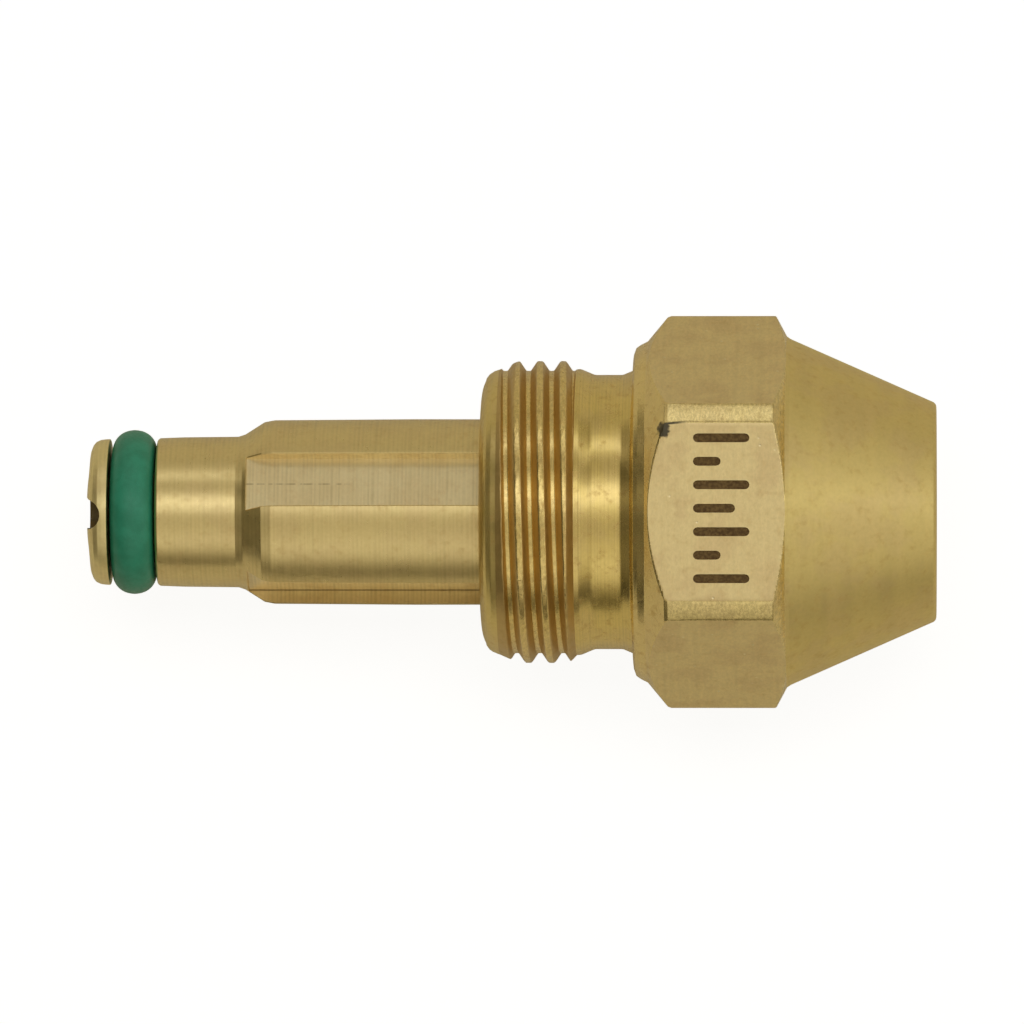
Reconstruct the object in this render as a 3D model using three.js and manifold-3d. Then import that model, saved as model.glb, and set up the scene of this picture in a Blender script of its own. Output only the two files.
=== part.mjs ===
// Air-atomising (siphon) oil burner nozzle: a screwed cap with a hexagon and a cone nose, and a
// slotted brass stem that screws into the cap from behind and carries the oil through its middle.
// Millimetres. +X is the spray axis, +Z is up. The origin is on the spray axis, in the plane of
// the cap's seat face, the washer face behind the hexagon. Two hexagon flats face +Z and -Z.
// Angles are taken about +X, from +Y towards +Z.
import * as THREE from "three";
import { mergeVertices } from "three/addons/utils/BufferGeometryUtils.js";
import Module from "manifold-3d";

// ---- driving dimensions -------------------------------------------------------------------
// cap, outside
const CAP_REAR = -6.95; // rear face of the threaded collar
const CAP_FRONT = 13.8; // front face of the cone nose
const HEX_AF = 16.0; // hexagon across flats
const HEX_CORNER_R = 9.0; // hexagon corners are turned to this radius
const HEX_REAR = 0.62; // where the rear chamfer starts
const HEX_FRONT = 6.55; // where the front chamfer starts
const SEAT_R = 7.25; // outer edge of the flat seat face
const NECK_R = 6.27; // neck between thread and seat
const CONE_BASE_R = 7.93; // cone nose, at its base
const CONE_TIP_R = 5.0; // cone nose, at the front face
const THREAD_CREST_R = 6.925; // 9/16-24 UNEF outside thread
const THREAD_ROOT_R = 6.43;
const THREAD_PITCH = 25.4 / 24;
const THREAD_FIRST = -6.42; // axial limits of the outside thread
const THREAD_LAST = -2.62;
const THREAD_CREST_AT = -5.366; // a crest lies here in the +Y direction
// cap, inside
const ENTRY_R = 4.45;
const INNER_MINOR_R = 3.8; // crest of the inside thread, and the gallery bore behind the seat cone
const INNER_GROOVE_R = 4.33; // bottom of the inside thread
const INNER_PITCH = 1.0;
const INNER_FIRST = -5.95; // inside thread, rear and front ends
const INNER_LAST = -1.2;
const SEAT_CONE = 9.3; // the 45 degree seat cone starts here
const THROAT_R = 0.9;
const OUTLET_R = 1.6;
// stem
const STEM_REAR = -25.0;
const DISC_R = 3.33; // rear disc behind the O-ring
const GROOVE_REAR = -23.95;
const GROOVE_FRONT = -21.8;
const GROOVE_R = 1.82;
const JOURNAL_R = 3.4; // plain section in front of the O-ring
const SHANK_R = 4.24; // slotted shank
const SHANK_START = -16.4;
const STEM_THREAD_R = 4.2;
const STEM_THREAD_ROOT_R = 3.65;
const STEM_THREAD_FIRST = -5.5;
const STEM_THREAD_LAST = -1.5;
const NOSE_R = 3.3;
const NOSE_FRONT = 8.2;
const SPIGOT_R = 1.55;
const SPIGOT_FRONT = 9.6;
const OIL_BORE_R = 1.1;
const JET_BORE_R = 1.05;
const JET_SEAT = 7.0;
// air slots
const SLOT_COUNT = 4;
const SLOT_WIDTH = 2.55;
const SLOT_FLOOR = 3.34; // flat floor, this far from the axis
const SLOT_ANGLE = 68; // degrees, the first slot's middle
// oil inlet notch in the rear face, from the oil bore out to the rim on one side
const CHANNEL_R = 0.7;
const CHANNEL_ANGLE = 92.4;
// O-ring
const RING_AT = -22.875;
const RING_R = 2.825; // centre of the section
const RING_HALF_WIDTH = 0.97;
const RING_HALF_HEIGHT = 0.925;
// swirler
const SWIRL_REAR = 8.35;
const SWIRL_R = 3.45;
const SWIRL_BORE_R = 1.65;
const SWIRL_TIP_R = 1.95;
const SWIRL_GAP = 0.17; // axial gap to the cap's seat cone
const SWIRL_SLOTS = 6;
const SWIRL_SLOT_WIDTH = 0.7;
const SWIRL_OFFSET = 1.25; // how far each slot's line passes from the axis
// fuel jet
const JET_R = 0.97;
const JET_REAR = 7.15;
const JET_TIP_R = 0.52;
const JET_TIP = 13.1;
const JET_ORIFICE_R = 0.25;
const JET_BORE = 0.5;
// facets round the axis
const OUTSIDE = 36;
const INSIDE = 24;

// ---- solids -------------------------------------------------------------------------------
const wasm = await Module();
wasm.setup();
const deg = THREE.MathUtils.degToRad;

// A closed geometry as a manifold solid. Faces always end up pointing outwards.
function solid(geometry) {
  const g = geometry.clone();
  g.deleteAttribute("normal");
  g.deleteAttribute("uv");
  const merged = mergeVertices(g, 1e-4);
  const index = merged.index.array;
  const p = merged.attributes.position.array;
  const kept = [];
  let volume = 0;
  for (let i = 0; i < index.length; i += 3) {
    const [a, b, c] = [index[i], index[i + 1], index[i + 2]];
    if (a === b || b === c || a === c) continue;
    kept.push(a, b, c);
    const [A, B, C] = [a, b, c].map(
      (k) => new THREE.Vector3(p[3 * k], p[3 * k + 1], p[3 * k + 2]),
    );
    volume += A.dot(B.cross(C));
  }
  if (volume < 0)
    for (let i = 0; i < kept.length; i += 3)
      [kept[i + 1], kept[i + 2]] = [kept[i + 2], kept[i + 1]];
  return new wasm.Manifold(
    new wasm.Mesh({
      numProp: 3,
      vertProperties: new Float32Array(p),
      triVerts: new Uint32Array(kept),
    }),
  );
}

// A profile of [x along the axis, radius] turned about the X axis.
function turned(profile, segments) {
  const g = new THREE.LatheGeometry(
    profile.map(([u, r]) => new THREE.Vector2(r, u)),
    segments,
  );
  g.rotateZ(-Math.PI / 2);
  return solid(g);
}

// A section of [radius, offset along the axis] swept round the axis as a helix: at angle a the
// section's offset 0 lies at start + pitch * a / 360. The section fades into its root at both
// ends over `fade` degrees.
function helix(section, root, pitch, start, from, to, segments, fade) {
  const shape = new THREE.Shape(section.map(([r, u]) => new THREE.Vector2(r, u)));
  const step = 360 / segments;
  const first = Math.round(from / step) * step;
  const steps = Math.round((to - first) / step);
  const g = new THREE.ExtrudeGeometry(shape, {
    depth: steps,
    steps,
    bevelEnabled: false,
  });
  const p = g.attributes.position;
  for (let i = 0; i < p.count; i++) {
    const angle = first + step * Math.round(p.getZ(i));
    const k = THREE.MathUtils.clamp(
      Math.min(angle - first, first + steps * step - angle) / fade + 0.12,
      0,
      1,
    );
    const r = root + (p.getX(i) - root) * k;
    const u = start + (pitch * angle) / 360 + p.getY(i);
    p.setXYZ(i, u, r * Math.cos(deg(angle)), r * Math.sin(deg(angle)));
  }
  return solid(g);
}

// A box from [x, radius, sideways] low to high corner, turned about the X axis so that its radius
// points at `angle`.
function bar(low, high, angle) {
  const g = new THREE.BoxGeometry(
    high[0] - low[0],
    high[1] - low[1],
    high[2] - low[2],
  );
  g.translate(
    (low[0] + high[0]) / 2,
    (low[1] + high[1]) / 2,
    (low[2] + high[2]) / 2,
  );
  g.rotateX(deg(angle));
  return solid(g);
}

const group = new THREE.Group();
group.name = "oil_burner_nozzle";

function add(name, made, material) {
  const m = made.getMesh();
  const n = m.numProp;
  const v = new Float32Array(m.numVert * 3);
  for (let i = 0; i < m.numVert; i++)
    v.set(m.vertProperties.subarray(i * n, i * n + 3), i * 3);
  const g = new THREE.BufferGeometry();
  g.setAttribute("position", new THREE.BufferAttribute(v, 3));
  g.setIndex(new THREE.BufferAttribute(new Uint32Array(m.triVerts), 1));
  g.computeVertexNormals();
  const mesh = new THREE.Mesh(g, material);
  mesh.name = name;
  group.add(mesh);
}

const brass = new THREE.MeshStandardMaterial({
  color: 0xb79c5f,
  roughness: 0.42,
  metalness: 1.0,
});
const paleBrass = new THREE.MeshStandardMaterial({
  color: 0xc2a86c,
  roughness: 0.34,
  metalness: 1.0,
});
const greenRubber = new THREE.MeshStandardMaterial({
  color: 0x1f7a52,
  roughness: 0.55,
  metalness: 0.0,
});

// ---- nozzle cap ---------------------------------------------------------------------------
// Turned envelope: collar with a rounded lead-in, thread core, run-out shoulder, neck, seat face,
// hexagon between its two chamfers, cone nose with a small rim radius.
const capEnvelope = [
  [CAP_REAR, 0],
  [CAP_REAR, 5.4],
  [-6.885, 5.8],
  [-6.7, 6.125],
  [-6.47, 6.31],
  [-6.15, 6.43],
  [-2.7, 6.43],
  [-2.66, 6.53],
  [-2.4, 6.53],
  [-1.58, NECK_R],
  [-0.57, NECK_R],
  [-0.2, 6.33],
  [0, 6.47],
  [0, SEAT_R],
  [0.14, 7.5],
  [0.35, 7.66],
  [HEX_REAR, 7.82],
  [1.51, 8.9],
  [1.7, HEX_CORNER_R],
  [HEX_FRONT, HEX_CORNER_R],
  [7.0, 8.0],
  [7.15, CONE_BASE_R],
  [CAP_FRONT - 0.27, CONE_TIP_R + 0.1],
  [CAP_FRONT - 0.06, CONE_TIP_R - 0.06],
  [CAP_FRONT, CONE_TIP_R - 0.22],
  [CAP_FRONT, 0],
];
const hexagon = new THREE.CylinderGeometry(
  HEX_AF / 2 / Math.cos(Math.PI / 6),
  HEX_AF / 2 / Math.cos(Math.PI / 6),
  CAP_FRONT - CAP_REAR + 4,
  6,
);
hexagon.rotateZ(-Math.PI / 2);
hexagon.translate((CAP_FRONT + CAP_REAR) / 2, 0, 0);
hexagon.rotateX(deg(90)); // two flats square to Z
let cap = turned(capEnvelope, OUTSIDE).intersect(solid(hexagon));

// The outside thread: a rounded ridge wound on the core, cut back by the collar's lead-in.
const outsideTurns = (THREAD_LAST - THREAD_FIRST) / THREAD_PITCH;
const ridge = helix(
  [
    [THREAD_ROOT_R - 0.15, -0.42],
    [THREAD_ROOT_R + 0.03, -0.36],
    [THREAD_CREST_R, -0.1],
    [THREAD_CREST_R, 0.1],
    [THREAD_ROOT_R + 0.03, 0.36],
    [THREAD_ROOT_R - 0.15, 0.42],
  ],
  THREAD_ROOT_R - 0.15,
  THREAD_PITCH,
  THREAD_CREST_AT,
  (360 * (THREAD_FIRST - THREAD_CREST_AT)) / THREAD_PITCH,
  (360 * (THREAD_FIRST - THREAD_CREST_AT)) / THREAD_PITCH + 360 * outsideTurns,
  OUTSIDE,
  50,
);
const leadIn = turned(
  [
    [-6.9, 0],
    [-6.9, 5.8],
    [-6.7, 6.14],
    [-6.2, 6.66],
    [-5.8, THREAD_CREST_R + 0.1],
    [-2.4, THREAD_CREST_R + 0.1],
    [-2.4, 0],
  ],
  OUTSIDE,
);
cap = cap.add(ridge.intersect(leadIn));

// Inside: entry, inside thread, run-out, gallery, 45 degree seat cone, throat and flared outlet.
const throatStart = SEAT_CONE + (INNER_MINOR_R - THROAT_R);
cap = cap.subtract(
  turned(
    [
      [CAP_REAR - 1, 0],
      [CAP_REAR - 1, ENTRY_R],
      [INNER_FIRST, ENTRY_R],
      [INNER_FIRST + 0.45, INNER_MINOR_R],
      [INNER_LAST, INNER_MINOR_R],
      [INNER_LAST, 4.4],
      [INNER_LAST + 0.8, 4.4],
      [INNER_LAST + 1.4, INNER_MINOR_R],
      [SEAT_CONE, INNER_MINOR_R],
      [throatStart, THROAT_R],
      [CAP_FRONT - 0.6, THROAT_R],
      [CAP_FRONT, OUTLET_R],
      [CAP_FRONT + 1, OUTLET_R],
      [CAP_FRONT + 1, 0],
    ],
    INSIDE,
  ),
);
// The stem's ridge lies at this phase, and the cap's groove follows it with clearance all round.
const innerStart = -3.5;
const flank = Math.tan(deg(30));
const crestHalf = 0.07;
const clearance = 0.09;
const grooveHalf = (r) => crestHalf + clearance + (INNER_GROOVE_R - 0.03 - r) * flank;
cap = cap.subtract(
  helix(
    [
      [INNER_MINOR_R - 0.1, -grooveHalf(INNER_MINOR_R - 0.1)],
      [INNER_GROOVE_R, -grooveHalf(INNER_GROOVE_R)],
      [INNER_GROOVE_R, grooveHalf(INNER_GROOVE_R)],
      [INNER_MINOR_R - 0.1, grooveHalf(INNER_MINOR_R - 0.1)],
    ],
    INNER_MINOR_R - 0.1,
    INNER_PITCH,
    innerStart,
    (360 * (INNER_FIRST - 0.4 - innerStart)) / INNER_PITCH,
    (360 * (INNER_LAST + 0.45 - innerStart)) / INNER_PITCH,
    INSIDE,
    1,
  ),
);
add("nozzle_cap", cap, brass);

// ---- stem ---------------------------------------------------------------------------------
let stem = turned(
  [
    [STEM_REAR, 0],
    [STEM_REAR, DISC_R - 0.95],
    [STEM_REAR + 0.08, DISC_R - 0.49],
    [STEM_REAR + 0.28, DISC_R - 0.16],
    [STEM_REAR + 0.64, DISC_R],
    [GROOVE_REAR, DISC_R],
    [GROOVE_REAR, GROOVE_R],
    [GROOVE_FRONT, GROOVE_R],
    [GROOVE_FRONT, JOURNAL_R - 0.08],
    [GROOVE_FRONT + 0.12, JOURNAL_R],
    [-18.05, JOURNAL_R + 0.06],
    [-17.75, JOURNAL_R + 0.14],
    [-16.85, SHANK_R - 0.11],
    [SHANK_START, SHANK_R],
    [STEM_THREAD_FIRST - 0.7, SHANK_R],
    [STEM_THREAD_FIRST - 0.45, STEM_THREAD_ROOT_R],
    [STEM_THREAD_LAST, STEM_THREAD_ROOT_R],
    [STEM_THREAD_LAST + 0.35, NOSE_R],
    [NOSE_FRONT - 0.2, NOSE_R],
    [NOSE_FRONT, NOSE_R - 0.2],
    [NOSE_FRONT, SPIGOT_R],
    [SPIGOT_FRONT, SPIGOT_R],
    [SPIGOT_FRONT, 0],
  ],
  INSIDE,
);
const ridgeHalf = (r) => crestHalf + (STEM_THREAD_R - r) * flank;
stem = stem.add(
  helix(
    [
      [STEM_THREAD_ROOT_R - 0.1, -ridgeHalf(STEM_THREAD_ROOT_R - 0.1) + 0.02],
      [STEM_THREAD_R, -crestHalf],
      [STEM_THREAD_R, crestHalf],
      [STEM_THREAD_ROOT_R - 0.1, ridgeHalf(STEM_THREAD_ROOT_R - 0.1) - 0.02],
    ],
    STEM_THREAD_ROOT_R - 0.1,
    INNER_PITCH,
    innerStart,
    (360 * (STEM_THREAD_FIRST + 0.1 - innerStart)) / INNER_PITCH,
    (360 * (STEM_THREAD_LAST - 0.2 - innerStart)) / INNER_PITCH,
    INSIDE,
    40,
  ),
);
// Four air slots along the shank, right through the thread, running out on the shoulder.
for (let i = 0; i < SLOT_COUNT; i++)
  stem = stem.subtract(
    bar(
      [-18.6, SLOT_FLOOR, -SLOT_WIDTH / 2],
      [STEM_THREAD_LAST + 0.6, SHANK_R + 1, SLOT_WIDTH / 2],
      SLOT_ANGLE + (i * 360) / SLOT_COUNT,
    ).subtract(
      turned(
        [
          [-19.5, 0],
          [-19.5, 6],
          [-18.06, 6],
          [-18.06, JOURNAL_R + 0.2],
          [-17.78, SLOT_FLOOR - 0.1],
          [-17.78, 0],
        ],
        INSIDE,
      ),
    ),
  );
// Oil bore from the rear, jet bore from the front, and a round-bottomed notch from the oil bore
// out through the rim of the rear disc.
stem = stem.subtract(
  turned(
    [
      [STEM_REAR - 1, 0],
      [STEM_REAR - 1, OIL_BORE_R],
      [JET_SEAT - 1, OIL_BORE_R],
      [JET_SEAT - 0.7, 0.7],
      [JET_SEAT, 0.7],
      [JET_SEAT, JET_BORE_R],
      [SPIGOT_FRONT + 1, JET_BORE_R],
      [SPIGOT_FRONT + 1, 0],
    ],
    16,
  ),
);
const channel = new THREE.CylinderGeometry(CHANNEL_R, CHANNEL_R, 6, 20);
channel.rotateY(deg(9));
channel.translate(STEM_REAR, 3, 0);
channel.rotateX(deg(CHANNEL_ANGLE));
stem = stem.subtract(solid(channel));
add("stem", stem, brass);

// ---- O-ring -------------------------------------------------------------------------------
const ringSection = [];
for (let i = 0; i <= 12; i++) {
  const a = (i / 12) * 2 * Math.PI;
  ringSection.push([
    RING_AT + RING_HALF_WIDTH * Math.cos(a),
    RING_R + RING_HALF_HEIGHT * Math.sin(a),
  ]);
}
ringSection[12] = [...ringSection[0]];
add("o_ring", turned(ringSection, INSIDE), greenRubber);

// ---- air swirler --------------------------------------------------------------------------
// A ring on the stem's spigot whose cone lies just off the cap's seat cone. Six slots cut the
// cone at a tangent, so that the air goes round the fuel jet as it runs to the throat.
const swirlShoulder = SEAT_CONE + INNER_MINOR_R - SWIRL_R - SWIRL_GAP;
const swirlFront = swirlShoulder + SWIRL_R - SWIRL_TIP_R;
let swirler = turned(
  [
    [SWIRL_REAR, SWIRL_BORE_R],
    [SWIRL_REAR, SWIRL_R],
    [swirlShoulder, SWIRL_R],
    [swirlFront, SWIRL_TIP_R],
    [swirlFront, SWIRL_BORE_R],
    [SWIRL_REAR, SWIRL_BORE_R],
  ],
  24,
);
for (let i = 0; i < SWIRL_SLOTS; i++) {
  const slot = new THREE.BoxGeometry(6, 1.1, SWIRL_SLOT_WIDTH);
  slot.translate(0, 0.55, 0);
  slot.rotateZ(deg(-45));
  slot.translate(swirlShoulder + 0.35 - 0.32, SWIRL_R - 0.35 - 0.32, SWIRL_OFFSET);
  slot.rotateX(deg(15 + (i * 360) / SWIRL_SLOTS));
  swirler = swirler.subtract(solid(slot));
}
add("air_swirler", swirler, paleBrass);

// ---- fuel jet -----------------------------------------------------------------------------
const jet = turned(
  [
    [JET_REAR, JET_BORE],
    [JET_REAR, JET_R],
    [10.2, JET_R],
    [11.3, JET_TIP_R],
    [JET_TIP, JET_TIP_R],
    [JET_TIP, JET_ORIFICE_R],
    [JET_TIP - 0.8, JET_ORIFICE_R],
    [JET_TIP - 1.05, JET_BORE],
    [JET_REAR, JET_BORE],
  ].map(([u, r], i) =>
    // the feed bore is narrower than the tip's wall allows beyond the taper
    i === 7 ? [u, 0.36] : [u, r],
  ),
  20,
);
add("fuel_jet", jet, paleBrass);

export default group;
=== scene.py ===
import math

import bmesh
import bpy
import numpy as np
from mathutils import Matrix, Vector
from mathutils.geometry import delaunay_2d_cdt


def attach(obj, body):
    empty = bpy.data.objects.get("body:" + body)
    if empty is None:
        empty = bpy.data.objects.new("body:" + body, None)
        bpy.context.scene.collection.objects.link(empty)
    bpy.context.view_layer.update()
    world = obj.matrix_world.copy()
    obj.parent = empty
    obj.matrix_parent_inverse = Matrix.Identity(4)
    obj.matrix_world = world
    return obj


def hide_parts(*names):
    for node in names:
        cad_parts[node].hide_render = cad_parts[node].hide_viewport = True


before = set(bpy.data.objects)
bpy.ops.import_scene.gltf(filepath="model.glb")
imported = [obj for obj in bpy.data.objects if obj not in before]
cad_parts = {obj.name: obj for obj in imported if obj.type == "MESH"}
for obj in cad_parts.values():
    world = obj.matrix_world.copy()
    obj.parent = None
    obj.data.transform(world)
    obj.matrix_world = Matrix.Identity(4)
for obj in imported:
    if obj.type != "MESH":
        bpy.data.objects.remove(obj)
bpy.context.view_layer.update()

MM = 0.001
scene = bpy.context.scene

# ---------------------------------------------------------------------------------------------
# Camera: looks down on the nozzle, spray axis to the right
# ---------------------------------------------------------------------------------------------
TILT = math.radians(2.0)
cam_data = bpy.data.cameras.new("camera")
cam_data.sensor_width = 36.0
cam_data.lens = 499.6
cam_data.clip_start, cam_data.clip_end = 0.1, 10.0
cam = bpy.data.objects.new("camera", cam_data)
cam.rotation_euler = (0.0, TILT, 0.0)
cam.location = (-0.005604 + 0.65 * math.sin(TILT), 0.0, 0.65 * math.cos(TILT))
scene.collection.objects.link(cam)
scene.camera = cam
scene.view_settings.view_transform = "Standard"
scene.view_settings.look = "None"
scene.view_settings.exposure = 0.0
scene.view_settings.gamma = 1.0


# ---------------------------------------------------------------------------------------------
# Mesh helpers. Everything is worked out in millimetres and written in metres.
# Angles are in degrees about +X, from +Y towards +Z.
# ---------------------------------------------------------------------------------------------
def smin(a, b, k):
    h = np.clip(k - np.abs(a - b), 0.0, None) / k
    return np.minimum(a, b) - h * h * k * 0.25


def smax(a, b, k):
    return -smin(-a, -b, k)


def rounded(points, step=0.6, arc=5):
    """points are (u, r, fillet radius, zone); the zone holds from that point to the next.
    Gives a list of (u, r, zone) with arcs at the corners and straights cut to `step`."""
    out = []
    n = len(points)
    cuts = []
    for i, (u, r, f, z) in enumerate(points):
        p = np.array([u, r], float)
        if i in (0, n - 1) or f <= 0:
            cuts.append((p, p, None))
            continue
        a = np.array(points[i - 1][:2], float) - p
        b = np.array(points[i + 1][:2], float) - p
        la, lb = np.linalg.norm(a), np.linalg.norm(b)
        a, b = a / la, b / lb
        cosang = float(np.clip(a @ b, -1, 1))
        half = math.acos(cosang) / 2
        if half > math.radians(88.5):
            cuts.append((p, p, None))
            continue
        t = min(f / math.tan(half), 0.46 * la, 0.46 * lb)
        rad = t * math.tan(half)
        bis = (a + b) / np.linalg.norm(a + b)
        c = p + bis * rad / math.sin(half)
        cuts.append((p + a * t, p + b * t, (c, rad)))
    for i, (u, r, f, z) in enumerate(points):
        start, end, fil = cuts[i]
        zone_before = points[i - 1][3] if i else z
        if fil is None:
            out.append((start[0], start[1], z))
        else:
            c, rad = fil
            v0, v1 = (start - c) / rad, (end - c) / rad
            ang = math.acos(float(np.clip(v0 @ v1, -1, 1)))
            for k in range(arc + 1):
                w = k / arc
                v = (math.sin((1 - w) * ang) * v0 + math.sin(w * ang) * v1) / max(
                    math.sin(ang), 1e-9
                )
                q = c + rad * v
                out.append((q[0], q[1], zone_before if k < arc // 2 else z))
        if i < n - 1:
            nxt = cuts[i + 1][0]
            d = nxt - end
            length = float(np.linalg.norm(d))
            guard = min(0.03, length * 0.2)
            if length > 0.12:
                out.append((*(end + d * guard / length), z))
                m = max(1, int(math.ceil((length - 2 * guard) / step)))
                for k in range(1, m):
                    out.append((*(end + d * (guard / length + (1 - 2 * guard / length) * k / m)), z))
                out.append((*(nxt - d * guard / length), z))
    keep = [out[0]]
    for p in out[1:]:
        if math.hypot(p[0] - keep[-1][0], p[1] - keep[-1][1]) > 1e-4:
            keep.append(p)
    return keep


def flip_if_inside_out(co, faces):
    vol = 0.0
    tri = []
    for f in faces:
        for k in range(1, len(f) - 1):
            tri.append((f[0], f[k], f[k + 1]))
    t = np.array(tri)
    a, b, c = co[t[:, 0]], co[t[:, 1]], co[t[:, 2]]
    vol = float(np.einsum("ij,ij->i", a, np.cross(b, c)).sum())
    if vol < 0:
        return [tuple(reversed(f)) for f in faces]
    return faces


def make_object(name, co_mm, faces, mats, face_mats=None, attrs=None, merge=True):
    co = np.asarray(co_mm, float)
    me = bpy.data.meshes.new(name)
    me.from_pydata((co * MM).tolist(), [], [tuple(int(i) for i in f) for f in faces])
    for m in mats:
        me.materials.append(m)
    if face_mats is not None:
        me.polygons.foreach_set("material_index", np.asarray(face_mats, np.int32))
    for key, values in (attrs or {}).items():
        at = me.attributes.new(key, "FLOAT", "POINT")
        at.data.foreach_set("value", np.asarray(values, np.float32))
    if merge:
        bm = bmesh.new()
        bm.from_mesh(me)
        bmesh.ops.remove_doubles(bm, verts=bm.verts, dist=2e-7)
        bmesh.ops.dissolve_degenerate(bm, edges=bm.edges, dist=1e-7)
        bm.to_mesh(me)
        bm.free()
    me.validate()
    me.polygons.foreach_set("use_smooth", np.ones(len(me.polygons), bool))
    me.update()
    o = bpy.data.objects.new(name, me)
    scene.collection.objects.link(o)
    return o


def grid_faces(rows, cols, wrap_rows=True):
    faces = []
    last = rows if wrap_rows else rows - 1
    for i in range(last):
        i2 = (i + 1) % rows
        for j in range(cols):
            j2 = (j + 1) % cols
            faces.append((i * cols + j, i2 * cols + j, i2 * cols + j2, i * cols + j2))
    return faces


def ring_points(u, r, angles_deg):
    """u and r broadcast against the angles: gives (..., 3)."""
    a = np.radians(angles_deg)
    u, r = np.broadcast_arrays(u, r)
    return np.stack([u + 0 * a, r * np.cos(a), r * np.sin(a)], -1)


def lathe_object(name, points, cols, mats, zones=None, step=0.6, arc=5):
    prof = rounded(points + [points[0]], step, arc)[:-1]
    angles = np.arange(cols) * 360.0 / cols
    co = np.concatenate([ring_points(u, r, angles) for u, r, z in prof])
    faces = grid_faces(len(prof), cols)
    fm = None
    if zones:
        fm = [zones.get(prof[i][2], 0) for i in range(len(prof)) for _ in range(cols)]
    faces2 = flip_if_inside_out(co, faces)
    return make_object(name, co, faces2, mats, fm, merge=False)


# ---------------------------------------------------------------------------------------------
# Materials
# ---------------------------------------------------------------------------------------------
class Nodes:
    """A small wrapper that makes node trees readable."""

    def __init__(self, name):
        self.mat = bpy.data.materials.new(name)
        self.mat.use_nodes = True
        self.t = self.mat.node_tree
        self.t.nodes.clear()
        self.out = self.t.nodes.new("ShaderNodeOutputMaterial")
        self.bsdf = self.t.nodes.new("ShaderNodeBsdfPrincipled")
        self.t.links.new(self.bsdf.outputs["BSDF"], self.out.inputs["Surface"])
        tc = self.t.nodes.new("ShaderNodeTexCoord")
        scale = self.t.nodes.new("ShaderNodeVectorMath")
        scale.operation = "SCALE"
        scale.inputs["Scale"].default_value = 1000.0
        self.t.links.new(tc.outputs["Object"], scale.inputs[0])
        self.p = scale.outputs["Vector"]  # position in millimetres
        sep = self.t.nodes.new("ShaderNodeSeparateXYZ")
        self.t.links.new(self.p, sep.inputs[0])
        self.x, self.y, self.z = sep.outputs
        self.r = self.math(
            "SQRT",
            self.math("ADD", self.math("MULTIPLY", self.y, self.y), self.math("MULTIPLY", self.z, self.z)),
        )

    def _in(self, socket, value):
        if isinstance(value, bpy.types.NodeSocket):
            self.t.links.new(value, socket)
        elif value is not None:
            socket.default_value = value

    def math(self, op, a, b=None, c=None, clamp=False):
        n = self.t.nodes.new("ShaderNodeMath")
        n.operation = op
        n.use_clamp = clamp
        self._in(n.inputs[0], a)
        self._in(n.inputs[1], b)
        self._in(n.inputs[2], c)
        return n.outputs[0]

    def vec(self, x, y, z):
        n = self.t.nodes.new("ShaderNodeCombineXYZ")
        self._in(n.inputs[0], x)
        self._in(n.inputs[1], y)
        self._in(n.inputs[2], z)
        return n.outputs[0]

    def stretch(self, v, sx, sy, sz, offset=(0, 0, 0)):
        n = self.t.nodes.new("ShaderNodeMapping")
        n.inputs["Scale"].default_value = (sx, sy, sz)
        n.inputs["Location"].default_value = offset
        self.t.links.new(v, n.inputs["Vector"])
        return n.outputs["Vector"]

    def noise(self, v, scale=1.0, detail=3.0, rough=0.55, distortion=0.0):
        n = self.t.nodes.new("ShaderNodeTexNoise")
        n.inputs["Scale"].default_value = scale
        n.inputs["Detail"].default_value = detail
        n.inputs["Roughness"].default_value = rough
        n.inputs["Distortion"].default_value = distortion
        self.t.links.new(v, n.inputs["Vector"])
        return n.outputs[0]

    def voronoi(self, v, scale=1.0, feature="F1", randomness=1.0):
        n = self.t.nodes.new("ShaderNodeTexVoronoi")
        n.feature = feature
        n.inputs["Scale"].default_value = scale
        n.inputs["Randomness"].default_value = randomness
        self.t.links.new(v, n.inputs["Vector"])
        return n

    def ramp(self, fac, lo, hi, to_lo=0.0, to_hi=1.0, smooth=True):
        n = self.t.nodes.new("ShaderNodeMapRange")
        n.interpolation_type = "SMOOTHSTEP" if smooth else "LINEAR"
        self._in(n.inputs["Value"], fac)
        n.inputs["From Min"].default_value = lo
        n.inputs["From Max"].default_value = hi
        n.inputs["To Min"].default_value = to_lo
        n.inputs["To Max"].default_value = to_hi
        return n.outputs["Result"]

    def mix(self, fac, a, b, blend="MIX"):
        n = self.t.nodes.new("ShaderNodeMix")
        n.data_type = "RGBA"
        n.blend_type = blend
        self._in(n.inputs["Factor"], fac)
        for i, v in ((6, a), (7, b)):
            if isinstance(v, bpy.types.NodeSocket):
                self.t.links.new(v, n.inputs[i])
            else:
                n.inputs[i].default_value = (*v, 1.0) if len(v) == 3 else v
        return n.outputs[2]

    def bump(self, height, distance, strength=1.0, normal=None):
        n = self.t.nodes.new("ShaderNodeBump")
        n.inputs["Strength"].default_value = strength
        n.inputs["Distance"].default_value = distance
        self.t.links.new(height, n.inputs["Height"])
        if normal is not None:
            self.t.links.new(normal, n.inputs["Normal"])
        return n.outputs["Normal"]


BRASS = (0.83, 0.635, 0.27)
TAN = (0.80, 0.60, 0.31)
TARNISH = (0.56, 0.33, 0.095)
DARK = (0.20, 0.13, 0.055)


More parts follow.
